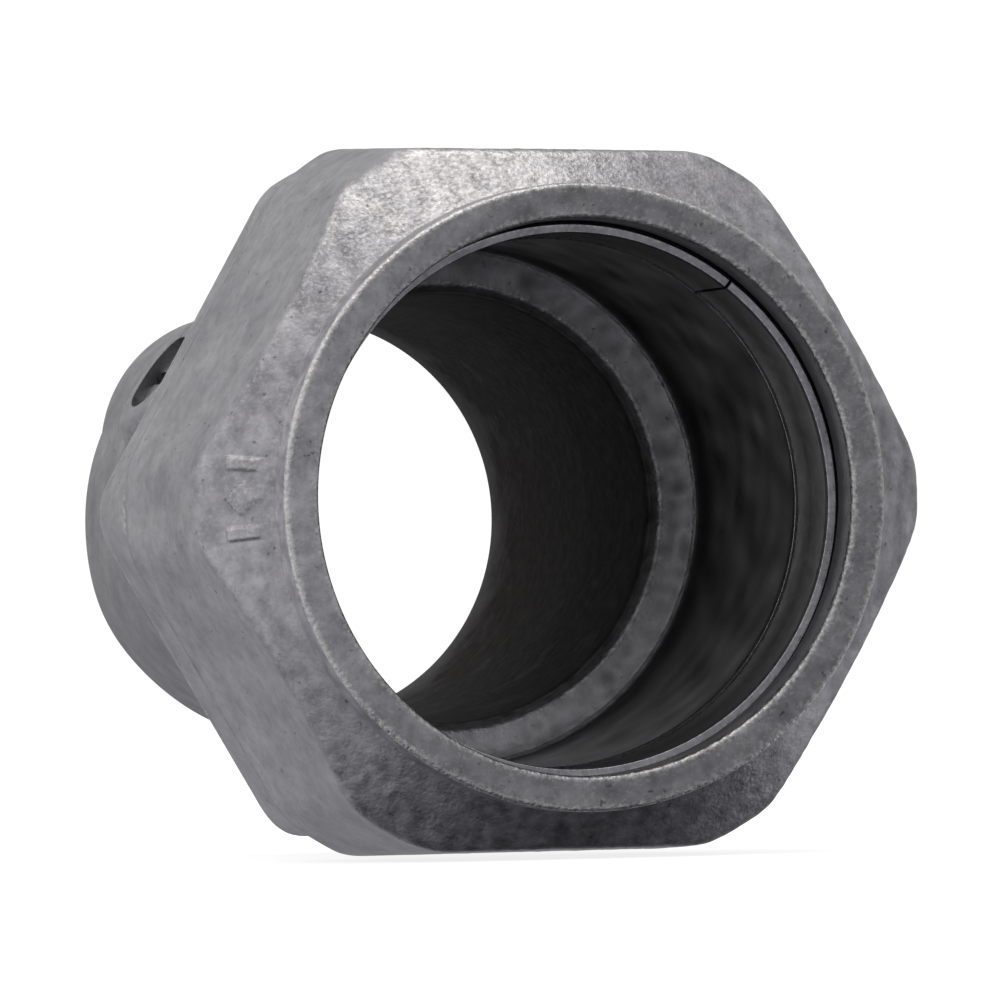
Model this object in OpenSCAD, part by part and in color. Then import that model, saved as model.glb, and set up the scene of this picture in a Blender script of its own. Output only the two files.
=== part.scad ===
// Reducing conduit fitting: a hexagonal compression nut and a split gland ring
// grip the larger conduit, and a set screw holds the smaller one in the sleeve.
// The conduit axis is Y. The nut's mouth faces -Y, and the origin is on the axis,
// at the end of the large conduit's socket.

/* [Conduits] */
// Outside diameter of the large conduit, in the socket
large_conduit_d = 29.54; // [29.4:0.02:29.6]
// Outside diameter of the small conduit, in the sleeve
small_conduit_d = 23.42; // [23.3:0.02:23.5]
// Radial clearance round the large conduit
socket_gap = 0.13; // [0.1:0.01:0.2]
// Radial clearance round the small conduit
sleeve_gap = 0.34; // [0.2:0.02:0.36]

/* [Body] */
// Distance from the socket's end to the body's mouth
socket_l = 19.4; // [18.5:0.1:19.6]
// Distance from the socket's end to the sleeve's rear face
sleeve_l = 32; // [31:0.5:34]
// Length of the sleeve's straight bore
sleeve_bore_l = 20; // [16:1:22]
// Radius of the sleeve at its rear face
sleeve_r = 13.3; // [13.1:0.05:13.5]
// Outside diameter of the external thread
thread_d = 34.7; // [34.5:0.1:34.8]
// Distance across the flats of the hexagonal wrench collar
collar_af = 38.8; // [38:0.1:40]
// Thickness of the wrench collar along the axis
collar_t = 5.5; // [4:0.1:6]

/* [Compression nut] */
// Length of the nut
nut_l = 16.6; // [16:0.1:16.7]
// Radius of the nut's round mouth
mouth_r = 15.4; // [15.2:0.05:15.6]
// Outer radius of the raised rim round the mouth
rim_r = 17.4; // [17:0.1:18]
// Distance across the flats at the front of the nut
front_af = 37.9; // [37.6:0.1:38.6]
// Distance across the flats at the rear of the nut
rear_af = 39.8; // [39:0.1:40.4]
// Radius that the front corners are turned down to
front_corner_r = 21; // [20.8:0.1:21.4]
// Radius that the rear corners are turned down to
rear_corner_r = 22; // [21.6:0.1:22.4]

/* [Gland ring] */
// Length of the gland ring
gland_l = 5.5; // [5:0.1:5.6]
// Largest outside radius of the gland ring
gland_r = 16.3; // [16.1:0.05:16.35]
// Width of the split through the gland ring
split_w = 0.2; // [0.15:0.05:1.5]
// Angle of the split round the axis, from +X towards +Z
split_angle = 52; // [0:1:359]
// How far the loose ring hangs below the axis
gland_drop = 0.15; // [0:0.05:0.15]

/* [Set screw] */
// Diameter of the set screw
screw_d = 5; // [4:0.5:6]
// Angle of the set screw round the axis, from +X towards +Z
screw_angle = 143; // [138:1:148]
// Distance of the set screw from the sleeve's rear face
screw_inset = 11; // [10:0.5:11]

/* [Hidden] */
$fn = 96;
over = 1;                             // how far a cut runs past a face
thread_gap = 0.1;                     // radial gap between the two threads

socket_r = large_conduit_d / 2 + socket_gap;
bore_r = small_conduit_d / 2 + sleeve_gap;
thread_r = thread_d / 2;

// Body stations along the axis, from the socket's end
ring_seat_l = 2.3;                    // from the mouth to the step for the gland ring
ring_seat_z = ring_seat_l - socket_l;
thread_end_z = -10.4;
collar_front_z = -9.1;
collar_rear_z = collar_front_z + collar_t;
collar_corner_r = collar_af / 2 + 2.1; // radius that the corners are turned down to
shoulder_z = 1;
hub_cone_z = 2.2;                     // the hub narrows from here to the tube
hub_rear_z = 7.5;
ridge_front_z = 18.5;
relief_r = 16.4;                      // groove between the thread and the collar
hub_r = 16.6;
tube_r = sleeve_r + 0.2;
ring_seat_r = 15.4;
flare_r = 16.5;
fillet = 1;                           // corner between the socket and its shoulder
throat_r = bore_r + 0.4;
throat_edge = 0.4;                    // chamfer round the throat
sleeve_bore_z = sleeve_l - sleeve_bore_l;
edge = 0.4;                           // small chamfer on cast edges

// Nut stations along the axis
nut_front_z = -26;
nut_rear_z = nut_front_z + nut_l;
mouth_end_z = nut_front_z + 2.4;      // straight wall of the mouth
rim_rear_z = nut_front_z + 2;         // root of the raised rim
cone_rear_z = nut_front_z + 5;        // the front cone reaches the turned corners
nut_seat_z = mouth_end_z + 3;         // cone that presses on the gland ring
nut_bore_r = thread_r + thread_gap;

// Gland ring stations along the axis
gland_front_z = mouth_end_z + 0.2;
gland_rear_z = gland_front_z + gland_l;
gland_land_z = gland_front_z + 1.7;   // front end of the widest band
gland_land_l = 1.2;
gland_bore_r = socket_r - 0.05;
gland_front_r = gland_bore_r + 0.3;   // outer radii of the ring's two thin ends
gland_rear_r = gland_bore_r + 0.35;

// Ridge and boss that carry the set screw
ridge_angle = 138;
ridge_w = 9;
ridge_l = sleeve_l - edge - ridge_front_z;
ridge_reach = sleeve_r + 0.7;         // crown of the ridge, from the axis
boss_reach = ridge_reach + 0.4;       // top of the boss, from the axis
boss_wall = 1.2;
boss_r = screw_d / 2 + boss_wall;
screw_z = sleeve_l - screw_inset;
screw_tip = bore_r + 0.1;             // tip of the screw, from the axis
screw_sunk = 0.6;                     // the screw's head lies this far below the boss
screw_head = boss_reach - screw_sunk;
screw_gap = 0.05;
slot_w = 0.9;
slot_depth = 0.7;

// Turns a part drawn along +Z so that it lies along the conduit axis, +Y.
module along_axis() {
    rotate([-90, 0, 0]) children();
}

// Solid of revolution from [radius, axial position] points.
module revolve(points) {
    rotate_extrude() polygon(points);
}

// Places a shape drawn along +X at an angle round the conduit axis.
module at_angle(angle) {
    rotate([0, 0, -angle]) children();
}

// Places a shape drawn along +Z on the set screw's line, outwards from the axis.
module on_screw_line() {
    at_angle(screw_angle) translate([0, 0, screw_z]) rotate([0, 90, 0]) children();
}

// Straight prism or frustum with flat sides, by its distances across the flats.
module prism(sides, z1, z2, af1, af2) {
    to_corner = 1 / (2 * cos(180 / sides));
    translate([0, 0, z1])
        cylinder(h = z2 - z1, r1 = af1 * to_corner, r2 = af2 * to_corner, $fn = sides);
}

// Thread blank, relief groove, hub and sleeve.
module body_barrel() {
    revolve([
        [0, -socket_l],
        [thread_r - edge, -socket_l],
        [thread_r, edge - socket_l],
        [thread_r, thread_end_z],
        [relief_r, thread_end_z + edge],
        [relief_r, collar_front_z],
        [hub_r, collar_rear_z],
        [hub_r, hub_cone_z],
        [tube_r, hub_rear_z],
        [sleeve_r, sleeve_l - edge],
        [sleeve_r - edge, sleeve_l],
        [0, sleeve_l],
    ]);
}

// Hexagonal collar for a wrench, with its corners turned down.
module wrench_collar() {
    intersection() {
        prism(6, collar_front_z, collar_rear_z, collar_af, collar_af);
        revolve([
            [0, collar_front_z],
            [collar_corner_r - edge, collar_front_z],
            [collar_corner_r, collar_front_z + edge],
            [collar_corner_r, collar_rear_z - edge],
            [collar_corner_r - edge, collar_rear_z],
            [0, collar_rear_z],
        ]);
    }
}

// Rounded ridge along the end of the sleeve, and the boss near its front end.
module screw_ridge() {
    at_angle(ridge_angle) intersection() {
        translate([0, 0, ridge_front_z]) cylinder(r = ridge_reach, h = ridge_l);
        translate([0, -ridge_w / 2, ridge_front_z]) cube([ridge_reach, ridge_w, ridge_l]);
    }
    on_screw_line() cylinder(r = boss_r, h = boss_reach);
}

// Socket, stop shoulder, throat and sleeve bore, as one cutting solid.
module body_bore() {
    revolve([
        [0, -socket_l - over],
        [flare_r, -socket_l - over],
        [flare_r, -socket_l],
        [ring_seat_r, ring_seat_z],
        [socket_r, ring_seat_z],
        [socket_r, 0],
        [socket_r - fillet, shoulder_z],
        [throat_r + throat_edge, shoulder_z],
        [throat_r, shoulder_z + throat_edge],
        [bore_r, sleeve_bore_z],
        [bore_r, sleeve_l - edge],
        [bore_r + edge, sleeve_l],
        [bore_r + edge, sleeve_l + over],
        [0, sleeve_l + over],
    ]);
}

module body() {
    color("darkgray") along_axis() difference() {
        union() {
            body_barrel();
            wrench_collar();
            screw_ridge();
        }
        body_bore();
        on_screw_line() cylinder(d = screw_d + 2 * screw_gap, h = boss_reach + over);
    }
}

// Raised rim, front cone and turned-down corners.
module nut_envelope() {
    revolve([
        [0, nut_front_z],
        [rim_r - edge, nut_front_z],
        [rim_r, nut_front_z + edge],
        [rim_r, rim_rear_z],
        [front_corner_r, cone_rear_z],
        [rear_corner_r, nut_rear_z - edge],
        [rear_corner_r - edge, nut_rear_z],
        [0, nut_rear_z],
    ]);
}

// Mouth, gland seat and threaded bore, as one cutting solid.
module nut_bore() {
    revolve([
        [0, nut_front_z - over],
        [mouth_r + edge, nut_front_z - over],
        [mouth_r + edge, nut_front_z],
        [mouth_r, nut_front_z + edge],
        [mouth_r, mouth_end_z],
        [nut_bore_r, nut_seat_z],
        [nut_bore_r, nut_rear_z - edge],
        [nut_bore_r + edge, nut_rear_z],
        [nut_bore_r + edge, nut_rear_z + over],
        [0, nut_rear_z + over],
    ]);
}

module compression_nut() {
    color("silver") along_axis() difference() {
        intersection() {
            prism(6, nut_front_z, nut_rear_z, front_af, rear_af);
            nut_envelope();
        }
        nut_bore();
    }
}

// Split steel ring, tapered both ways from its widest band.
module gland_ring() {
    color("lightsteelblue") translate([0, 0, -gland_drop]) along_axis() difference() {
        revolve([
            [gland_bore_r + 0.1, gland_front_z],
            [gland_front_r, gland_front_z],
            [gland_r, gland_land_z],
            [gland_r, gland_land_z + gland_land_l],
            [gland_rear_r, gland_rear_z],
            [gland_bore_r, gland_rear_z],
            [gland_bore_r, gland_front_z + 0.3],
        ]);
        at_angle(split_angle) translate([0, -split_w / 2, gland_front_z - over])
            cube([gland_r + over, split_w, gland_l + 2 * over]);
    }
}

// Headless screw with a driver slot, along a radius of the sleeve.
module set_screw() {
    color("gainsboro") along_axis() on_screw_line() difference() {
        revolve([
            [0, screw_tip],
            [screw_d / 2 - edge, screw_tip],
            [screw_d / 2, screw_tip + edge],
            [screw_d / 2, screw_head],
            [0, screw_head],
        ]);
        translate([-screw_d, -slot_w / 2, screw_head - slot_depth])
            cube([2 * screw_d, slot_w, slot_depth + over]);
    }
}

body();
compression_nut();
gland_ring();
set_screw();
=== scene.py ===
"""Looks of the reducing conduit fitting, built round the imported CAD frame.

Everything is worked out in millimetres and turned into metres when a mesh is made. An angle
is measured round the conduit axis, +Y, from +X towards +Z. Each turned shape is a grid of
angles by profile rows, so its radius can change with the angle: that gives the flats, the
turned-down corners, the threads, the ridge and the small marks and dents of the casting.
"""

import math

import bpy
import numpy as np
from mathutils import Matrix, Vector


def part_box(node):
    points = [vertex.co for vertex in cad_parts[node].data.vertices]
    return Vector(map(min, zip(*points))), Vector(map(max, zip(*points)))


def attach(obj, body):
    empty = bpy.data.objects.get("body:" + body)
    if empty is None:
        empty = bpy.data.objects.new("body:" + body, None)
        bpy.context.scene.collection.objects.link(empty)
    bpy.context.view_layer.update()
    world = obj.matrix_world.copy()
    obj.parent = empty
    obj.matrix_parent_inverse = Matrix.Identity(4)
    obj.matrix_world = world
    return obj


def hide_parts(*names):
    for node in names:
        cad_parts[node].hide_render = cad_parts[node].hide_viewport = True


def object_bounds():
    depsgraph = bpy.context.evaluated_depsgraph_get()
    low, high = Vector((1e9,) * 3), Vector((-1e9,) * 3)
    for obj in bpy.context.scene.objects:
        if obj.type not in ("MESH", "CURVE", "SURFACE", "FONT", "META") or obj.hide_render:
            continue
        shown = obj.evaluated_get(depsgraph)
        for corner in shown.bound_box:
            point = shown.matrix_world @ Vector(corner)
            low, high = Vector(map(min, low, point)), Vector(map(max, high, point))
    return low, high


MM = 0.001
TAU = 2 * math.pi
EDGE = 0.4                                             # small chamfer on cast edges
QUARTER = np.linspace(0, math.pi / 2, 6)[None, :]      # steps round a small rounded edge
TONE, WEAR, SOOT_AND_SHADE = 2, 3, 4                             # places in a profile row, after r and y

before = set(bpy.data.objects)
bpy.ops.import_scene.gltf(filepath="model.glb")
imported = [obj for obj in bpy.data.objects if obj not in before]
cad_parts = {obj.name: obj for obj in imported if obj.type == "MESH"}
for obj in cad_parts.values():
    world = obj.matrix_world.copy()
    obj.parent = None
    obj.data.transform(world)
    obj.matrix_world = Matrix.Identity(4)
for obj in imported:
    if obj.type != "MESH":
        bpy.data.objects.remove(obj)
cad_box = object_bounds()
scene = bpy.context.scene


def box_mm(node):
    """A CAD node's lowest and highest corner, in millimetres."""
    return tuple(np.array(corner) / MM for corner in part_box(node))


BODY_LOW, BODY_HIGH = box_mm("body")
NUT_LOW, NUT_HIGH = box_mm("compression_nut")
RING_LOW, RING_HIGH = box_mm("gland_ring")

# ---------------------------------------------------------------- camera

MOUTH = Vector((0, NUT_LOW[1], 0)) * MM          # centre of the nut's mouth
CAMERA_AT = Vector((-185.65, -587.28, -10.89)) * MM    # from the mouth
CAMERA_LOOK = Vector((0.29385, 0.95569, 0.01757))
CAMERA_UP = Vector((0.0157, -0.02321, 0.99961))
LENS_MM = 401.8
SENSOR_MM = 36


def make_camera():
    data = bpy.data.cameras.new("camera")
    data.lens, data.sensor_width = LENS_MM, SENSOR_MM
    data.clip_start, data.clip_end = 0.02, 50
    camera = bpy.data.objects.new("camera", data)
    scene.collection.objects.link(camera)
    back = -CAMERA_LOOK.normalized()
    right = CAMERA_UP.cross(back).normalized()
    up = back.cross(right)
    turn = Matrix((right, up, back)).transposed().to_4x4()
    camera.matrix_world = Matrix.Translation(MOUTH + CAMERA_AT) @ turn
    scene.camera = camera


make_camera()
scene.view_settings.view_transform = "Standard"
scene.view_settings.look = "None"

# ---------------------------------------------------------------- node helpers


def new_tree(material):
    material.use_nodes = True
    tree = material.node_tree
    tree.nodes.clear()
    return tree


def add(tree, kind, values=None, **settings):
    """A node with its settings, and its sockets set to a value or linked to a socket."""
    node = tree.nodes.new(kind)
    for key, value in settings.items():
        setattr(node, key, value)
    for key, value in (values or {}).items():
        if isinstance(value, bpy.types.NodeSocket):
            tree.links.new(value, node.inputs[key])
        else:
            node.inputs[key].default_value = value
    return node


def ramp(tree, factor, *stops):
    """Colour ramp through (position, grey or colour) stops."""
    node = add(tree, "ShaderNodeValToRGB", {"Fac": factor})
    elements = node.color_ramp.elements
    while len(elements) < len(stops):
        elements.new(0.5)
    for element, (position, colour) in zip(elements, stops):
        element.position = position
        colour = colour if isinstance(colour, tuple) else (colour,) * 3
        element.color = (*colour, 1)
    return node.outputs["Color"]


def maths(tree, operation, a, b=0.0, c=0.0, clamp=False):
    node = add(tree, "ShaderNodeMath", {0: a, 1: b, 2: c}, operation=operation, use_clamp=clamp)
    return node.outputs[0]


def mix(tree, factor, a, b, blend="MIX"):
    node = add(tree, "ShaderNodeMix", data_type="RGBA", blend_type=blend)
    for key, value in ((0, factor), (6, a), (7, b)):
        if isinstance(value, bpy.types.NodeSocket):
            tree.links.new(value, node.inputs[key])
        else:
            node.inputs[key].default_value = value
    return node.outputs[2]


def noise(tree, where, scale, detail, roughness):
    """Noise from 0 to 1; the scale is in waves for each metre."""
    node = add(tree, "ShaderNodeTexNoise", {
        "Vector": where, "Scale": scale, "Detail": detail, "Roughness": roughness})
    return node.outputs[0]


# ---------------------------------------------------------------- floor and light


def glow_material(name, glow, diffuse):
    """White surface that also glows, so that it stays white under soft light."""
    material = bpy.data.materials.new(name)
    tree = new_tree(material)
    lit = add(tree, "ShaderNodeBsdfDiffuse", {"Color": (diffuse,) * 3 + (1,)})
    light = add(tree, "ShaderNodeEmission", {"Color": (1, 1, 1, 1), "Strength": glow})
    both = add(tree, "ShaderNodeAddShader", {0: lit.outputs[0], 1: light.outputs[0]})
    add(tree, "ShaderNodeOutputMaterial", {"Surface": both.outputs[0]})
    return material


def make_stage():
    """Pale floor under the fitting and a white dome behind it, which don't light it."""
    size, floor_gap = 3.0, 0.0001
    bpy.ops.mesh.primitive_plane_add(size=2 * size, location=(0, 0, cad_box[0][2] - floor_gap))
    floor = bpy.context.object
    floor.name = "floor"
    floor.data.materials.append(glow_material("floor_white", 0.80, 0.5))
    bpy.ops.mesh.primitive_uv_sphere_add(radius=size * 1.5, segments=48, ring_count=24)
    dome = bpy.context.object
    dome.name = "backdrop"
    dome.data.materials.append(glow_material("backdrop_white", 1.05, 0.0))
    for item in (floor, dome):
        item.visible_diffuse = item.visible_glossy = item.visible_transmission = False
        item.visible_shadow = False


def make_world():
    """Soft room light: bright above, dim below, dimmer in front than behind."""
    world = bpy.data.worlds.new("room")
    scene.world = world
    world.use_nodes = True
    tree = world.node_tree
    tree.nodes.clear()
    way = add(tree, "ShaderNodeSeparateXYZ", {
        0: add(tree, "ShaderNodeTexCoord").outputs["Generated"]})
    height = maths(tree, "MULTIPLY_ADD", way.outputs["Z"], 0.5, 0.5)
    height = maths(tree, "MULTIPLY_ADD", way.outputs["X"], -0.10, height)
    sky = ramp(tree, height, (0.0, (0.012, 0.012, 0.015)), (0.05, (0.05, 0.05, 0.058)),
               (0.10, (0.14, 0.14, 0.152)), (0.17, (0.35, 0.35, 0.372)),
               (0.25, (0.47, 0.47, 0.49)), (0.50, 0.58),
               (0.65, 0.60), (0.85, 0.74), (0.97, (0.98, 0.96, 0.93)))
    depth = maths(tree, "MULTIPLY_ADD", way.outputs["Y"], 0.12, 0.97)
    side = maths(tree, "MULTIPLY_ADD", way.outputs["X"], -0.26, 1.0)
    strength = maths(tree, "MULTIPLY", depth, side)
    light = add(tree, "ShaderNodeBackground", {"Color": sky, "Strength": strength})
    add(tree, "ShaderNodeOutputWorld", {"Surface": light.outputs[0]})


def area_light(name, at, towards, size, power, colour=(1, 1, 1)):
    data = bpy.data.lights.new(name, "AREA")
    data.shape, data.size, data.size_y = "RECTANGLE", size[0], size[1]
    data.energy, data.color = power, colour
    light = bpy.data.objects.new(name, data)
    scene.collection.objects.link(light)
    light.location = at
    light.rotation_euler = (Vector(towards) - Vector(at)).to_track_quat("-Z", "Y").to_euler()


make_stage()
make_world()
area_light("top_softbox", (-0.02, -0.12, 0.60), (0, -0.01, 0), (0.50, 0.40), 0.75, (1, 0.985, 0.96))
area_light("low_side", (0.70, -0.03, -0.38), (0, -0.02, 0), (0.35, 0.25), 0.22, (0.97, 0.98, 1))

# ---------------------------------------------------------------- shape helpers


def smin(a, b, k):
    """Smaller of two radii, blended over a width k so that the edge between them is rounded."""
    h = np.clip(0.5 + 0.5 * (b - a) / k, 0, 1)
    return b * (1 - h) + a * h - k * h * (1 - h)


def smoothstep(low, high, x):
    t = np.clip((x - low) / (high - low), 0, 1)
    return t * t * (3 - 2 * t)


def even_angles(count, low, high, step, clear):
    """Even angles all round, in radians, closer together between two angles in degrees."""
    even = np.linspace(0, 360, count, endpoint=False)
    close = np.arange(low, high, step)
    kept = even[(even < close[0] - clear) | (even > close[-1] + clear)]
    return np.radians(np.sort(np.concatenate([kept, close])))


def ripple(points, wavelength, seed, waves=28):
    """Smooth random field of unit variance over points, in millimetres."""
    random = np.random.RandomState(seed)
    k = random.normal(size=(waves, 3))
    k *= TAU / wavelength * random.uniform(0.6, 1.5, (waves, 1)) / np.linalg.norm(k, axis=1)[:, None]
    phase = random.uniform(0, TAU, waves)
    return np.sin(points @ k.T + phase).sum(-1) * math.sqrt(2 / waves)


def turn_from(theta, centre):
    """Signed angle in degrees from centre, -180 to 180."""
    return (np.degrees(theta) - centre + 180) % 360 - 180


def lobe(theta, centre, spread):
    """1 at an angle, falling smoothly to 0 on both sides; the spread is in degrees."""
    return np.exp(-(turn_from(theta, centre) / spread) ** 2)


def place(theta, r, y):
    """Points at an angle and radius round the axis."""
    return np.stack([r * np.cos(theta), y + 0 * r, r * np.sin(theta)], -1)


def path(knots, step):
    """Rows along a profile with its corners rounded: radius, axial place, tone, wear, soot and painted
    shade.

    A knot is (radius, axial place, rounding, tone, wear, soot and painted shade). Tone and the
    soot and shade run evenly from knot to knot, and wear shows only on the rounded corner.
    """
    rows = []
    knots = [np.array(knot, float) for knot in knots]
    paint = [3, 5]                                     # where a knot holds its tone and its soot and painted shade
    bends = 5                                          # rows round a rounded corner
    last = len(knots) - 1
    for i, knot in enumerate(knots):
        here, rounding = knot[:2], knot[2]
        shade = knot[paint]
        if i == 0 or i == last or rounding == 0:
            corner = [(here, shade, knot[4])]
        else:
            ends = []
            for other in (knots[i - 1], knots[i + 1]):
                away = other[:2] - here
                cut = min(rounding, 0.45 * np.linalg.norm(away)) / np.linalg.norm(away)
                ends.append((here + away * cut, shade + (other[paint] - shade) * cut))
            corner = []
            for j in range(bends):
                t = j / (bends - 1)
                a, b, c = (1 - t) ** 2, 2 * t * (1 - t), t * t
                point = a * ends[0][0] + b * here + c * ends[1][0]
                tint = a * ends[0][1] + b * shade + c * ends[1][1]
                corner.append((point, tint, knot[4] * math.sin(math.pi * (j + 0.6) / (bends + 0.2))))
        if rows:
            start, end = rows[-1], corner[0]
            length = np.linalg.norm(end[0] - start[0])
            count = max(1, int(math.ceil(length / step)))
            for j in range(1, count):
                t = j / count
                fade = max(0.0, 1 - 4 * min(t * length, (1 - t) * length))
                wear = fade * (start[2] if t < 0.5 else end[2])
                rows.append((start[0] + (end[0] - start[0]) * t,
                             start[1] + (end[1] - start[1]) * t, wear))
        rows.extend(corner)
    return np.array([(*point, tint[0], wear, tint[1]) for point, tint, wear in rows])


class Grid:
    """A closed surface: one profile loop at each angle, with its shading values."""

    def __init__(self, theta):
        self.theta = np.asarray(theta)[:, None]
        self.parts = []

    def rows(self, table):
        """Adds profile rows that are the same at every angle."""
        self.parts.append([table[None, :, i] + 0 * self.theta for i in range(5)])

    def field(self, r, y, tone=1.0, wear=0.0, soot_and_shade=0.0):
        """Adds rows whose radius, place or shading changes with the angle."""
        shape = np.broadcast_shapes(np.shape(r), np.shape(y), self.theta.shape)
        self.parts.append([np.broadcast_to(v, shape) + 0.0 for v in (r, y, tone, wear, soot_and_shade)])

    def arrays(self):
        return [np.concatenate([part[i] for part in self.parts], 1) for i in range(5)]


def shading(rows):
    """The shading values of a table of rows, by the names that the materials read."""
    return {"tone": rows[TONE], "wear": rows[WEAR], "soot_and_shade": rows[SOOT_AND_SHADE]}


def make_mesh(name, points, shades, material, closed=True, looped=True):
    """Mesh through a grid of points: angles by profile rows.

    Unless the angles are closed, or the rows looped, the two ends get flat caps.
    """
    n, m = points.shape[:2]
    index = np.arange(n * m).reshape(n, m)
    ahead = np.roll(index, -1, 0) if closed else index[1:]
    here = index if closed else index[:-1]
    quads = np.stack([here, np.roll(here, -1, 1), np.roll(ahead, -1, 1), ahead], -1)
    quads = (quads if looped else quads[:, :-1]).reshape(-1, 4)
    flat = points.reshape(-1, 3)
    a, b, c = (flat[quads[:, i]] - flat.mean(0) for i in range(3))
    inside_out = np.einsum("ij,ij->i", a, np.cross(b, c)).sum() < 0
    faces = quads.tolist()
    if not closed:
        faces += [index[0][::-1].tolist(), index[-1].tolist()]
    if not looped:
        faces += [index[:, 0].tolist(), index[:, -1][::-1].tolist()]
    if inside_out:
        faces = [face[::-1] for face in faces]
    mesh = bpy.data.meshes.new(name)
    mesh.from_pydata((flat * MM).tolist(), [], faces)
    for key, values in shades.items():
        mesh.attributes.new(key, "FLOAT", "POINT").data.foreach_set(
            "value", np.clip(values, 0, 2).astype(np.float32).ravel())
    mesh.materials.append(material)
    mesh.validate()
    piece = bpy.data.objects.new(name, mesh)
    scene.collection.objects.link(piece)
    smooth(piece)
    return piece


def smooth(piece, angle=38):
    piece.data.polygons.foreach_set("use_smooth", [True] * len(piece.data.polygons))
    piece.data.set_sharp_from_angle(angle=math.radians(angle))


CUT_TONE = 0.5                                         # tone of the faces that a cut makes


def cut(piece, cutter):
    """Takes the cutter's shape out of a piece, and gives the new faces a tone."""
    cutter.data.materials.append(piece.data.materials[0])
    modifier = piece.modifiers.new("cut", "BOOLEAN")
    modifier.operation, modifier.solver, modifier.object = "DIFFERENCE", "EXACT", cutter
    bpy.context.view_layer.update()
    solid = piece.evaluated_get(bpy.context.evaluated_depsgraph_get())
    mesh = bpy.data.meshes.new_from_object(solid)
    piece.modifiers.clear()
    piece.data = mesh
    bpy.data.objects.remove(cutter)
    tone = mesh.attributes["tone"].data
    values = np.zeros(len(mesh.vertices), np.float32)
    tone.foreach_get("value", values)
    tone.foreach_set("value", np.where(values < 0.01, np.float32(CUT_TONE), values))
    smooth(piece)


# ---------------------------------------------------------------- materials


def metal(name, dark, light, worn, soot_and_shade, grain, rough):
    """Cast or pressed metal: mottled greys, worn bright edges, and a dark colour for soot and for painted
    shade in hollows and creases.
    """
    material = bpy.data.materials.new(name)
    tree = new_tree(material)
    where = add(tree, "ShaderNodeTexCoord").outputs["Object"]

    def shade(key):
        return add(tree, "ShaderNodeAttribute", attribute_name=key).outputs["Fac"]

    blotch = noise(tree, where, 330, 6, 0.62)
    speck = noise(tree, where, 1500, 4, 0.6)
    pits = noise(tree, where, 2100, 2, 0.5)
    flecks = noise(tree, where, 3900, 4, 0.65)
    fine = noise(tree, where, 4300, 2, 0.5)
    # mottled greys with specks and dark pits, times the tone, which in places holds painted light and
    # shade
    colour = ramp(tree, blotch, (0.33, dark), (0.66, light))
    colour = mix(tree, 1.0, colour, ramp(tree, speck, (0.30, 0.78), (0.52, 1.0), (0.72, 1.14)),
                 "MULTIPLY")
    colour = mix(tree, 1.0, colour, ramp(tree, pits, (0.24, 0.45), (0.31, 1.0)), "MULTIPLY")
    tone = add(tree, "ShaderNodeCombineColor", {0: shade("tone"), 1: shade("tone"), 2: shade("tone")})
    colour = mix(tree, 1.0, colour, tone.outputs[0], "MULTIPLY")
    # soot and painted shade, thicker in the blotches
    soot_and_shade_amount = maths(tree, "MULTIPLY", shade("soot_and_shade"),
                 maths(tree, "MULTIPLY_ADD", blotch, 1.0, 0.62), clamp=True)
    colour = mix(tree, soot_and_shade_amount, colour, (*soot_and_shade, 1))
    # bright flecks, more of them on worn edges and fewer under soot and painted shade
    shown = maths(tree, "MULTIPLY_ADD", shade("wear"), 0.42, -0.60)
    shown = maths(tree, "MULTIPLY", maths(tree, "ADD", flecks, shown), 3.6, clamp=True)
    lightening = maths(tree, "SUBTRACT", maths(tree, "MULTIPLY_ADD", shade("wear"), 0.70, 0.20), soot_and_shade_amount)
    bright = maths(tree, "MULTIPLY", shown, lightening, clamp=True)
    colour = mix(tree, bright, colour, (*worn, 1))
    # soot and painted shade are dull, and worn metal is smoother
    roughness = maths(tree, "MULTIPLY_ADD", speck, 0.26, rough - 0.13)
    roughness = maths(tree, "MULTIPLY_ADD", bright, -0.12, roughness)
    roughness = maths(tree, "MULTIPLY_ADD", soot_and_shade_amount, 0.38, roughness, True)
    # grain of the casting, which glitters where it is worn
    glitter = maths(tree, "MULTIPLY_ADD", shade("wear"), 3.2, 0.25)
    height = maths(tree, "MULTIPLY_ADD", speck, 0.7, maths(tree, "MULTIPLY", fine, glitter))
    bump = add(tree, "ShaderNodeBump", {
        "Strength": grain, "Distance": 0.00011, "Height": height})
    shader = add(tree, "ShaderNodeBsdfPrincipled", {
        "Base Color": colour, "Roughness": roughness, "Metallic": 0.9,
        "Normal": bump.outputs[0]})
    add(tree, "ShaderNodeOutputMaterial", {"Surface": shader.outputs[0]})
    return material


# near black: the colour of soot and of the painted shade in bores, hollows and creases
SOOT_AND_SHADE_COLOUR = (0.0130, 0.0082, 0.0070)
zinc_nut = metal("zinc_nut", (0.270, 0.264, 0.286), (0.41, 0.402, 0.424), (0.80, 0.79, 0.77),
                 SOOT_AND_SHADE_COLOUR, 0.35, 0.42)
zinc_body = metal("zinc_body", (0.26, 0.254, 0.275), (0.39, 0.382, 0.404), (0.76, 0.755, 0.765),
                  SOOT_AND_SHADE_COLOUR, 0.35, 0.45)
gland_steel = metal("gland_steel", (0.15, 0.15, 0.168), (0.24, 0.24, 0.262), (0.88, 0.88, 0.88),
                    (0.04, 0.037, 0.040), 0.14, 0.30)
screw_steel = metal("screw_steel", (0.42, 0.42, 0.43), (0.62, 0.62, 0.62), (0.90, 0.90, 0.88),
                    SOOT_AND_SHADE_COLOUR, 0.12, 0.28)

# ---------------------------------------------------------------- thread and flats, for nut and body

PITCH = 1.5
FLAT_BLEND, CORNER_BLEND = 0.5, 0.45              # roundness of the edges of the flats


def thread_height(theta, y):
    """0 at a groove to 1 at a crest of the right-hand thread, both a little flattened."""
    turn = y / PITCH + theta / TAU
    wave = 0.5 - 0.5 * np.cos(TAU * turn)
    return smoothstep(0.12, 0.88, wave)


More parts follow.
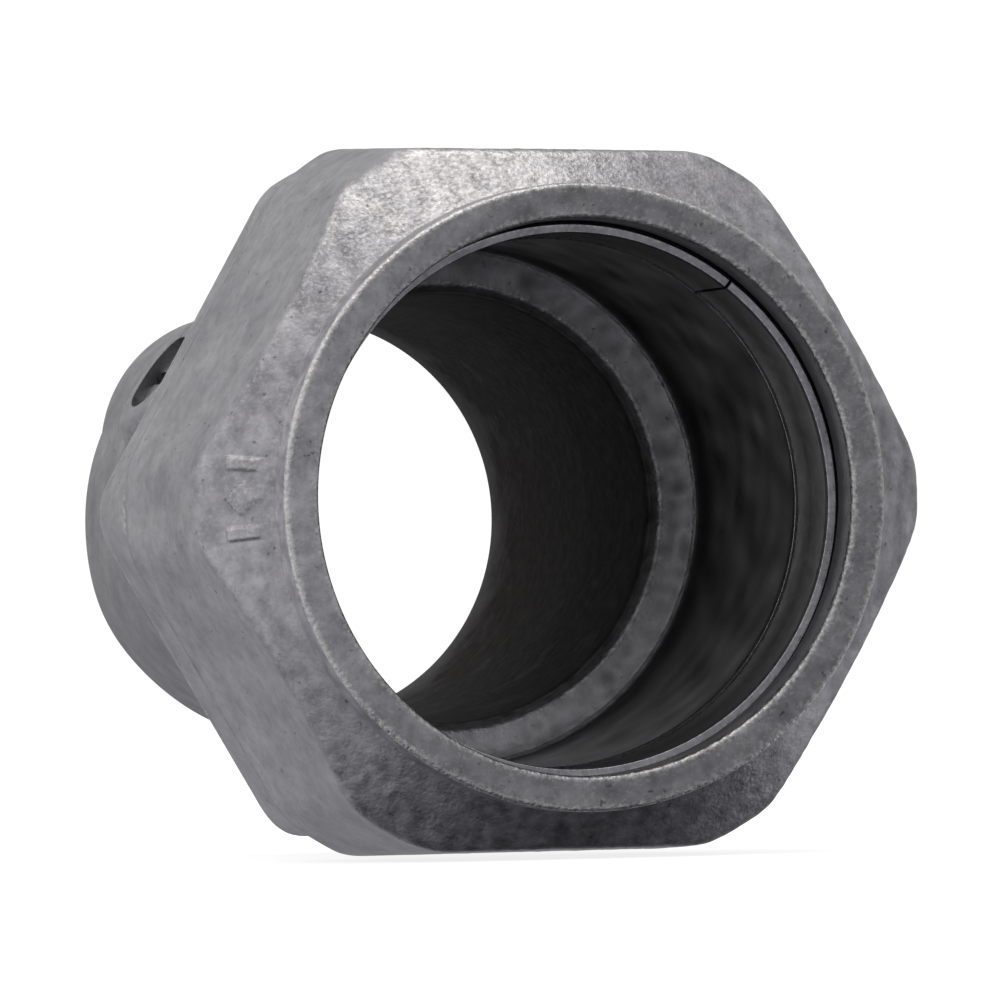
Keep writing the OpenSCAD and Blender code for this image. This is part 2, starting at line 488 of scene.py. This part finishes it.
def flats_radius(theta, y, flats, y_front, y_rear):
    """Distance to the nearest of some flats, each (angle, front and rear distance from the axis)."""
    nearest = None
    share = (y - y_front) / (y_rear - y_front)
    for angle, front, rear in flats:
        lean = np.cos(np.radians(np.clip(turn_from(theta, angle), -75, 75)))
        reach = (front + (rear - front) * share) / lean
        nearest = reach if nearest is None else smin(nearest, reach, FLAT_BLEND)
    return nearest


# ---------------------------------------------------------------- compression nut

NUT_FRONT, NUT_REAR = NUT_LOW[1], NUT_HIGH[1]
MOUTH_R, RIM_R, NUT_BORE_R = 15.4, 17.4, 17.45
MOUTH_END = NUT_FRONT + 2.4
RIM_REAR = NUT_FRONT + 2
FLAT_FRONT = NUT_FRONT + 3.6
NUT_THREAD_FRONT = NUT_FRONT + 5.4
NUT_THREAD_DEPTH = 0.65
# The turned-down corners' radius at the front, and how much it grows, from where, over what length
CORNER_FRONT_R, CORNER_GROWTH, CORNER_BEHIND, CORNER_LENGTH = 21.05, 0.95, 5, 11
# The flats: (angle, distance from the axis at the front and at the rear)
NUT_FLATS = ((30, 19.12, 19.85), (89.0, 19.40, 20.00), (150, 19.22, 20.25),
             (210, 19.22, 20.25), (270, 19.46, 19.73), (329.8, 19.04, 19.70))
# Each turned-down corner's radius differs a little: (angle, difference)
CORNER_SPREAD = 17
NUT_CORNERS = ((60, 0.05), (113, 0.45), (131, -0.20), (240, -0.05))
CONE_SLOPE = 1.2                                  # how fast the front cone's radius grows
CONE_SLANT = math.hypot(1, CONE_SLOPE)            # length down the cone for each length along the axis
CONE_BLEND = 0.42


def cone_radius(y):
    """Radius of the front cone, which starts at the foot of the rim."""
    return RIM_R + CONE_SLOPE * (y - RIM_REAR)


def nut_outside(theta, y):
    """Radius of the nut's outside: six flats, turned-down corners and the front cone."""
    share = np.clip((y - NUT_FRONT - CORNER_BEHIND) / CORNER_LENGTH, 0, 1)
    corner = CORNER_FRONT_R + CORNER_GROWTH * share
    for angle, more in NUT_CORNERS:
        corner = corner + more * lobe(theta, angle, CORNER_SPREAD)
    r = smin(flats_radius(theta, y, NUT_FLATS, FLAT_FRONT, NUT_REAR), corner, CORNER_BLEND)
    return smin(r, cone_radius(y), CONE_BLEND)


# The front cone's tone over the rest of the nut, and its painted light and shade round the axis, darker at
# the bottom: (angle, spread, difference)
CONE_TONE = 0.18
CONE_LIGHT_AND_SHADE = ((45, 22, 0.20), (104, 42, -0.08), (198, 25, 0.12), (270, 26, -0.30))


def cone_tone(theta):
    """How much brighter the front cone is than the flats, with painted light and shade that change round
    it.
    """
    tone = CONE_TONE
    for angle, spread, more in CONE_LIGHT_AND_SHADE:
        tone = tone + more * lobe(theta, angle, spread)
    return tone


# Raised casting marks: (angle, distance behind the rim, half sizes round and down the cone, turn)
MARKS = ((173.4, 1.2, 0.36, 1.0, 0), (179.2, 1.2, 0.72, 0.72, 45), (185.0, 1.2, 0.36, 1.0, 0))
MARK_R = 20.0                                     # mean radius of the cone where the marks are
FAINT_MARKS = ((227.2, 2.2, 0.20, 0.55, 25), (231.3, 1.7, 0.20, 0.5, -25), (233.0, 2.6, 0.5, 0.16, 0),
               (236.4, 1.5, 0.22, 0.45, 12))


def mark_height(theta, y, marks, height):
    """Height of raised rectangles with soft edges on the front cone."""
    raised = 0
    for angle, behind, wide, long, turn in marks:
        u = np.radians(turn_from(theta, angle)) * MARK_R
        v = (y - RIM_REAR - behind) * CONE_SLANT
        c, s = math.cos(math.radians(turn)), math.sin(math.radians(turn))
        across, along = np.abs(u * c + v * s) - wide, np.abs(v * c - u * s) - long
        outside = np.maximum(across, along)
        raised = np.maximum(raised, height * smoothstep(0.14, -0.14, outside))
    return raised


DENT_R, DENT_SIZE = (17, 22), (0.15, 0.45)


def dents(points, count, seed, low, high, depth):
    """Depth of small hollows at random places round the axis, from y low to y high."""
    random = np.random.RandomState(seed)
    hollow = np.zeros(points.shape[:-1])
    for _ in range(count):
        angle, y = random.uniform(0, TAU), random.uniform(low, high)
        r = random.uniform(*DENT_R)
        size, deep = random.uniform(*DENT_SIZE), random.uniform(0.4, 1) * depth
        centre = np.array([r * math.cos(angle), y, r * math.sin(angle)])
        gap = ((points - centre) ** 2).sum(-1) / (size * size)
        hollow += deep * np.exp(-np.minimum(gap, 30))
    return hollow


def make_nut():
    grid = Grid(even_angles(660, 168, 190, 0.2, 0.3))      # closer over the raised marks
    t = grid.theta
    # mouth and rim; the mouth is painted darker deeper in, as painted shade
    grid.rows(path([
        (MOUTH_R, MOUTH_END, 0, 0.7, 0.0, 0.6),
        (MOUTH_R, NUT_FRONT + 1.3, 0, 0.85, 0.1, 0.12),
        (MOUTH_R, NUT_FRONT, 0.42, 0.80, 0.65, 0.0),
        (RIM_R, NUT_FRONT, 0.40, 0.80, 0.75, 0.0),
        (RIM_R, RIM_REAR - 0.05, 0, 1.20, 0.1, 0.0),
    ], 0.4))
    # cone, flats and corners, with the rows closer together over the cone
    cone_end = RIM_REAR + 3.9
    y = np.concatenate([np.arange(RIM_REAR, cone_end, 0.13),
                        np.arange(cone_end, NUT_REAR - EDGE, 0.5)])[None, :]
    r = nut_outside(t, y)
    flat = flats_radius(t, y, NUT_FLATS, FLAT_FRONT, NUT_REAR)
    arris = np.exp(-((flat - cone_radius(y)) / 0.35) ** 2)             # where the cone meets a flat
    tips = np.exp(-((flat - 21.4) / 0.5) ** 2) * 0.5                   # where a flat meets a corner
    on_cone = smoothstep(0.3, -0.3, cone_radius(y) - np.minimum(flat, 21.2))
    on_top = lobe(t, 104, 42)
    points = place(t, r, y)
    rough_cast = ripple(points, 2.2, 3) * 0.008 + ripple(points, 0.9, 4) * 0.007
    raised = mark_height(t, y, MARKS, 0.28) + mark_height(t, y, FAINT_MARKS, 0.09)
    hollow = dents(points, 150, 11, NUT_FRONT + 2, NUT_REAR, 0.09)
    fade = smoothstep(RIM_REAR, RIM_REAR + 0.5, y)
    r = r + fade * (rough_cast + raised - hollow)
    wear = (0.12 + 0.20 * on_top) * arris + 0.2 * tips + 0.7 * raised + (0.14 + 0.36 * on_top) * on_cone
    clouds = 0.11 * ripple(points, 1.4, 12)
    grid.field(r, y, 0.95 + (cone_tone(t) + clouds) * on_cone, wear, 1.6 * np.clip(hollow, 0, 0.4))
    # rear edge, with a chipped stretch beside the collar; towards the collar, and most in the chips, the
    # edge is painted dark as painted shade of the crease
    rounding = 0.3
    y_edge = NUT_REAR - rounding + rounding * np.sin(QUARTER)
    edge = nut_outside(t, y_edge)
    turn = turn_from(t, 0)
    chips = smoothstep(-0.1, 0.9, ripple(place(t, edge, y_edge), 1.6, 31))
    chips = chips * smoothstep(118, 126, turn) * smoothstep(172, 150, turn) * np.sin(QUARTER)
    edge = edge - 0.14 * chips
    grid.field(edge - rounding * (1 - np.cos(QUARTER)), y_edge, 0.9, 0.25 * (1 - chips),
               np.maximum(0.15 + 0.6 * smoothstep(0.7, 1.5, QUARTER), 1.3 * chips))
    outer = edge[:, -1:] - rounding
    share = np.linspace(0.12, 1, 6)[None, :]
    grid.field(outer + (NUT_BORE_R + EDGE - outer) * share, NUT_REAR, 0.8, 0.0, 0.5)
    # thread, which runs out at both ends, painted dark inside the nut as painted shade
    y = np.arange(NUT_REAR - EDGE, NUT_THREAD_FRONT, -0.22)[None, :]
    lead = smoothstep(NUT_REAR - 0.3, NUT_REAR - 1.4, y) * smoothstep(NUT_FRONT + 5.5, NUT_FRONT + 7, y)
    grid.field(NUT_BORE_R - NUT_THREAD_DEPTH * lead * (1 - thread_height(t, y)), y, 0.75, 0.0, 0.7)
    shades = grid.arrays()
    r, y = shades[:2]
    # the rim is handled most: it is worn all round, and its tone is raised on the left side as painted
    # light, with a little random mottling
    on_rim = y < RIM_REAR
    left_light_and_mottle = 0.75 * lobe(t, 178, 42) + 0.08 * ripple(place(t, r, y), 1.6, 13)
    shades[TONE] = np.where(on_rim, shades[TONE] * (1 + left_light_and_mottle), shades[TONE])
    shades[WEAR] = np.where(on_rim, np.maximum(shades[WEAR], 0.12), shades[WEAR])
    piece = make_mesh("nut", place(t, r, y), shading(shades), zinc_nut)
    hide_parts("compression_nut")
    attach(piece, "compression_nut")


# ---------------------------------------------------------------- body

BODY_FRONT, BODY_REAR = BODY_LOW[1], BODY_HIGH[1]
SOCKET_R, BORE_R, THREAD_R = 14.9, 12.05, 17.35
RELIEF_R, HUB_R, TUBE_R, SLEEVE_R, FLARE_R = 16.4, 16.6, 13.5, 13.3, 16.5
THREAD_END = -10.4
BODY_THREAD_DEPTH = 0.7
RING_SEAT_Y = BODY_FRONT + 2.3
COLLAR_FRONT, COLLAR_REAR = -9.1, -3.6
COLLAR_CORNER_R, COLLAR_EDGE = 21.5, 0.35
HUB_REAR = 7.5
SCREW_ANGLE, SCREW_Y = 143, BODY_REAR - 11
RIDGE_ANGLE, RIDGE_HALF, RIDGE_HEIGHT = 135, 21.0, 0.68
BOSS_R, BOSS_TOP = 3.7, 14.4
SCREW_R, SCREW_GAP, SCREW_SUNK = 2.5, 0.05, 0.6
SLOT_W, SLOT_DEPTH = 0.9, 0.7
COLLAR_FLATS = ((30, 19.4, 19.4), (90, 19.4, 19.4), (150, 19.4, 19.4),
                (210, 19.6, 19.6), (270, 18.6, 18.6), (330, 19.4, 19.4))
COLLAR_CORNER_SPREAD = 16
COLLAR_CORNERS = ((124, 0.15), (180, 0.45), (238, 0.15))


def collar_outside(theta):
    """Radius of the wrench collar: six flats and turned-down corners."""
    corner = COLLAR_CORNER_R
    for angle, more in COLLAR_CORNERS:
        corner = corner + more * lobe(theta, angle, COLLAR_CORNER_SPREAD)
    return smin(flats_radius(theta, 0.0, COLLAR_FLATS, 0, 1), corner, CORNER_BLEND)


def sleeve_outside(theta, y):
    """Tapered sleeve with the long ridge and the round boss that carry the set screw."""
    share = (y - HUB_REAR) / (BODY_REAR - HUB_REAR)
    r = TUBE_R + (SLEEVE_R - TUBE_R) * share + 0 * theta
    off = turn_from(theta, RIDGE_ANGLE) / RIDGE_HALF
    hump = RIDGE_HEIGHT * np.clip(1 - off ** 2, 0, 1) * smoothstep(16.5, 19.5, y)
    r = r + hump + 0.2 * lobe(theta, 205, 16)
    turn = turn_from(theta, SCREW_ANGLE)
    far_side = np.abs(turn) >= 60
    away = np.hypot(r * np.sin(np.radians(turn)), y - SCREW_Y) + 90 * far_side
    top = BOSS_TOP / np.cos(np.radians(np.clip(turn, -30, 30)))
    return r + (top - r) * smoothstep(BOSS_R + 1.5, BOSS_R - 0.5, away)


def make_body():
    grid = Grid(even_angles(480, 116, 160, 0.5, 0.4))      # closer over the ridge and boss
    t = grid.theta
    # mouth and thread
    groove_r = THREAD_R - BODY_THREAD_DEPTH
    grid.rows(path([
        (FLARE_R, BODY_FRONT, 0.15, 0.9, 0.6, 0.2),
        (groove_r, BODY_FRONT, 0, 0.9, 0.2, 0.3),
    ], 0.3))
    y = np.arange(BODY_FRONT + 0.1, THREAD_END + 0.05, 0.22)[None, :]
    lead = smoothstep(BODY_FRONT, BODY_FRONT + 1.2, y) * smoothstep(THREAD_END + 0.1, THREAD_END - 0.7, y)
    crest = thread_height(t, y)
    grid.field(groove_r + BODY_THREAD_DEPTH * crest * lead, y, 0.85, 0.5 * crest * lead, 0.3 * (1 - crest))
    grid.rows(path([
        (RELIEF_R, THREAD_END + 0.4, 0, 0.8, 0, 0.5),
        (RELIEF_R, COLLAR_FRONT, 0, 0.8, 0, 0.6),
    ], 0.5))
    # collar
    outer = collar_outside(t)
    lip = outer - COLLAR_EDGE
    share = np.linspace(0.15, 1, 6)[None, :]
    # the collar's front face and front edge are painted dark as painted shade in the crease against the
    # nut
    grid.field(RELIEF_R + (lip - RELIEF_R) * share, COLLAR_FRONT, 0.8, 0, 0.45)
    corner = lobe(t, 182, 14)          # corner that stands out past the nut, left out of the painted shade of the crease
    grid.field(lip + COLLAR_EDGE * np.sin(QUARTER), COLLAR_FRONT + COLLAR_EDGE * (1 - np.cos(QUARTER)),
               0.9, 0.1 + 0.5 * corner,
               (0.95 - 0.75 * smoothstep(0.6, 1.4, QUARTER)) * (1 - 0.85 * corner))
    flat_y = np.linspace(COLLAR_FRONT + COLLAR_EDGE + 0.3, COLLAR_REAR - COLLAR_EDGE - 0.3, 9)[None, :]
    side = outer + 0 * flat_y
    points = place(t, side, flat_y)
    hollow = dents(points, 60, 21, COLLAR_FRONT, COLLAR_REAR, 0.12)
    grid.field(side + ripple(points, 2.4, 5) * 0.02 - hollow, flat_y, 0.98, 0.08,
               1.8 * np.clip(hollow, 0, 0.4))
    grid.field(lip + COLLAR_EDGE * np.cos(QUARTER), COLLAR_REAR - COLLAR_EDGE * (1 - np.sin(QUARTER)),
               1.0, 0.5, 0.0)
    grid.field(lip + (HUB_R + 0.5 - lip) * share, COLLAR_REAR, 0.85, 0, 0.3)
    # hub and sleeve
    grid.rows(path([
        (HUB_R + 0.3, COLLAR_REAR + 0.1, 0, 0.85, 0, 0.35),
        (HUB_R, COLLAR_REAR + 0.5, 0.3, 0.9, 0, 0.3),
        (HUB_R, 2.2, 0.9, 0.88, 0.2, 0.14),
        (TUBE_R, HUB_REAR, 0.9, 0.84, 0, 0.18),
    ], 0.7))
    y = np.concatenate([np.arange(8.0, 16.4, 0.6), np.arange(16.4, BODY_REAR - 0.45, 0.3)])[None, :]
    r = sleeve_outside(t, y)
    points = place(t, r, y)
    edge_of_boss = np.exp(-((r - BOSS_TOP) / 0.25) ** 2)
    low_side = lobe(t, 215, 38)
    # the sleeve's tone is lowered on its lower left side as painted shade
    grid.field(r + ripple(points, 2.5, 6) * 0.015, y, 0.95 - 0.13 * low_side, 0.25 * edge_of_boss, 0.08)
    rear_y = BODY_REAR - EDGE + EDGE * np.sin(QUARTER)
    grid.field(sleeve_outside(t, rear_y) - EDGE * (1 - np.cos(QUARTER)), rear_y, 0.95, 0.4, 0.0)
    # sleeve bore, throat, stop shoulder, socket and ring seat; the bore and the socket wall are painted
    # dark through the soot and shade value, as painted shade
    grid.rows(path([
        (BORE_R + EDGE, BODY_REAR, 0, 0.9, 0.4, 0.0),
        (BORE_R, BODY_REAR - EDGE, 0.1, 0.55, 0.3, 0.6),
        (BORE_R, 26, 0, 0.45, 0, 0.97),
        (BORE_R, 12, 0, 0.35, 0, 1.0),
        (BORE_R + 0.3, 2.0, 0, 0.45, 0.0, 1.0),
        (BORE_R + 0.4, 1.4, 0.10, 1.0, 0.3, 0.45),
        (BORE_R + 0.8, 1.0, 0.22, 0.95, 0.55, 0.10),
        (SOCKET_R - 0.9, 0.75, 0.4, 0.90, 0.0, 0.10),
        (SOCKET_R - 0.12, 0.28, 0.12, 1.35, 0.4, 0.0),
        (SOCKET_R, 0.10, 0.05, 1.2, 0.3, 0.1),
        (SOCKET_R, -0.30, 0, 0.8, 0.1, 0.5),
        (SOCKET_R, -1.0, 0, 0.6, 0, 0.62),
        (SOCKET_R, -9, 0, 0.55, 0, 0.72),
        (SOCKET_R, RING_SEAT_Y, 0.08, 0.7, 0.5, 0.6),
        (SOCKET_R + 0.5, RING_SEAT_Y, 0.05, 0.6, 0, 0.5),
        (FLARE_R, BODY_FRONT + 0.05, 0, 0.8, 0.4, 0.3),
    ], 0.6))
    shades = grid.arrays()
    r, y = shades[:2]
    # the socket wall, the sleeve bore and the stop shoulder are painted lighter towards the bottom, and
    # the wall also near the top, as painted light
    wall = (r < SOCKET_R + 0.01) & (y < -0.3) & (y > BODY_FRONT + 2)
    below = lobe(t, 264, 40)
    lightening = 0.72 * below + 0.22 * lobe(t, 98, 32)
    shades[SOOT_AND_SHADE] = np.where(wall, shades[SOOT_AND_SHADE] - lightening, shades[SOOT_AND_SHADE])
    sleeve = (r < BORE_R + 0.35) & (y > 1.5) & (y < BODY_REAR - 1)
    shades[SOOT_AND_SHADE] = np.where(sleeve, shades[SOOT_AND_SHADE] - 0.14 * below, shades[SOOT_AND_SHADE])
    streaks = 0.07 * ripple(place(t, r, y), 3.2, 8)
    shades[SOOT_AND_SHADE] = np.where(wall, np.clip(shades[SOOT_AND_SHADE] + streaks - 0.12, 0, 1), shades[SOOT_AND_SHADE])
    # painted light: the wall's tone is raised towards the bottom
    shades[TONE] = np.where(wall, shades[TONE] * (1 + 0.9 * below), shades[TONE])
    stop = (r > BORE_R + 0.3) & (r < SOCKET_R + 0.01) & (y > -0.2) & (y < 1.5)
    mottle = 0.10 * np.abs(ripple(place(t, r, y), 1.8, 9))
    shades[SOOT_AND_SHADE] = np.where(stop, shades[SOOT_AND_SHADE] + mottle, shades[SOOT_AND_SHADE])
    # painted light: the stop shoulder's tone is raised towards the bottom
    shades[TONE] = np.where(stop, shades[TONE] * (1 + 1.5 * below), shades[TONE])
    piece = make_mesh("fitting_body", place(t, r, y), shading(shades), zinc_body)
    cut(piece, hole_cutter(SCREW_R + SCREW_GAP, BORE_R - 1.05, BOSS_TOP + 1.6))
    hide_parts("body")
    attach(piece, "body")


# ---------------------------------------------------------------- gland ring

SPLIT_ANGLE, SPLIT_W, RING_DROP = 52, 0.2, 0.15
RING_R, RING_LAND_R, RING_MEAN_R = 14.85, 16.3, 15.5
RING_MIDDLE = -20.5


def make_ring():
    """The ring's profile starts and ends in the middle of its inner face."""
    front, rear = RING_LOW[1], RING_HIGH[1]
    half = math.degrees(SPLIT_W / 2 / RING_MEAN_R)
    grid = Grid(np.radians(np.linspace(SPLIT_ANGLE + half, SPLIT_ANGLE + 360 - half, 500)))
    # the inner face is painted dark as painted shade; the front edge and the rear lip are painted bright
    # as painted highlights, on top of their wear
    grid.rows(path([
        (RING_R, RING_MIDDLE, 0, 0.20, 0.0, 0.55),
        (RING_R, front + 0.40, 0.08, 0.5, 0.3, 0.3),
        (14.90, front + 0.05, 0.05, 1.6, 0.7, 0.0),
        (15.34, front, 0.07, 1.9, 1.0, 0.0),
        (RING_LAND_R, front + 1.7, 0.25, 1.0, 0.2, 0.1),
        (RING_LAND_R, front + 2.9, 0.25, 1.0, 0.2, 0.1),
        (15.2, rear, 0.1, 0.9, 0.6, 0.0),
        (14.77, rear, 0.04, 2.0, 1.2, 0.0),
        (14.75, rear - 0.14, 0.04, 2.0, 1.2, 0.0),
        (RING_R, rear - 0.42, 0.04, 1.5, 0.6, 0.0),
        (RING_R, rear - 0.55, 0.04, 0.4, 0.0, 0.3),
        (RING_R, RING_MIDDLE + 0.1, 0, 0.20, 0.0, 0.55),
    ], 0.3))
    shades = grid.arrays()
    r, y = shades[:2]
    points = place(grid.theta, r, y)
    points[..., 2] -= RING_DROP
    piece = make_mesh("gland_ring_steel", points, shading(shades), gland_steel, closed=False)
    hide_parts("gland_ring")
    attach(piece, "gland_ring")


# ---------------------------------------------------------------- set screw


def on_screw_line(points):
    """Points drawn with +Z outwards from the conduit axis and X along it, put on the screw's line."""
    angle = math.radians(SCREW_ANGLE)
    out = np.array([math.cos(angle), 0, math.sin(angle)])
    along = np.array([0, -1, 0])
    side = np.cross(out, along)
    turned = points[..., :1] * along + points[..., 1:2] * side + points[..., 2:] * out
    return turned + np.array([0, SCREW_Y, 0])


def cutting_shape(name, points, faces):
    """Shape on the screw's line that is only used to cut with."""
    mesh = bpy.data.meshes.new(name)
    mesh.from_pydata((on_screw_line(points) * MM).tolist(), [], faces)
    piece = bpy.data.objects.new(name, mesh)
    scene.collection.objects.link(piece)
    return piece


def hole_cutter(radius, inner, outer, sides=72):
    """Plain cylinder between two distances from the conduit axis."""
    angle = np.linspace(0, TAU, sides, endpoint=False)
    rings = [np.stack([radius * np.cos(angle), radius * np.sin(angle), 0 * angle + z], -1)
             for z in (inner, outer)]
    faces = [[i, (i + 1) % sides, sides + (i + 1) % sides, sides + i] for i in range(sides)]
    faces += [list(range(sides))[::-1], list(range(sides, 2 * sides))]
    return cutting_shape("hole", np.concatenate(rings), faces)


def slot_cutter(wide, low, high, reach=4):
    """Plain bar that runs past the screw on both sides."""
    corners = np.array([[x, y, z] for x in (-reach, reach) for y in (-wide / 2, wide / 2)
                        for z in (low, high)], float)
    faces = [[0, 1, 3, 2], [4, 6, 7, 5], [0, 4, 5, 1], [2, 3, 7, 6], [0, 2, 6, 4], [1, 5, 7, 3]]
    return cutting_shape("slot", corners, faces)


def make_screw():
    tip, head = BORE_R + 0.1, BOSS_TOP - SCREW_SUNK
    angle = np.linspace(0, TAU, 96, endpoint=False)[:, None]
    table = path([
        (0.5, tip, 0, 0.8, 0, 0.2),
        (SCREW_R - 0.5, tip, 0.1, 0.8, 0.5, 0.2),
        (SCREW_R, tip + 0.5, 0.1, 0.8, 0.4, 0.2),
        (SCREW_R, head, 0.22, 0.9, 0.7, 0.0),
        (0.5, head, 0, 0.95, 0, 0.0),
    ], 0.25)
    rows = [table[None, :, i] + 0 * angle for i in range(5)]
    r, z = rows[:2]
    points = np.stack([r * np.cos(angle), r * np.sin(angle), z], -1)
    piece = make_mesh("set_screw_steel", on_screw_line(points), shading(rows), screw_steel, looped=False)
    cut(piece, slot_cutter(SLOT_W, head - SLOT_DEPTH, head + 1))
    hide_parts("set_screw")
    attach(piece, "set_screw")


make_nut()
make_body()
make_ring()
make_screw()
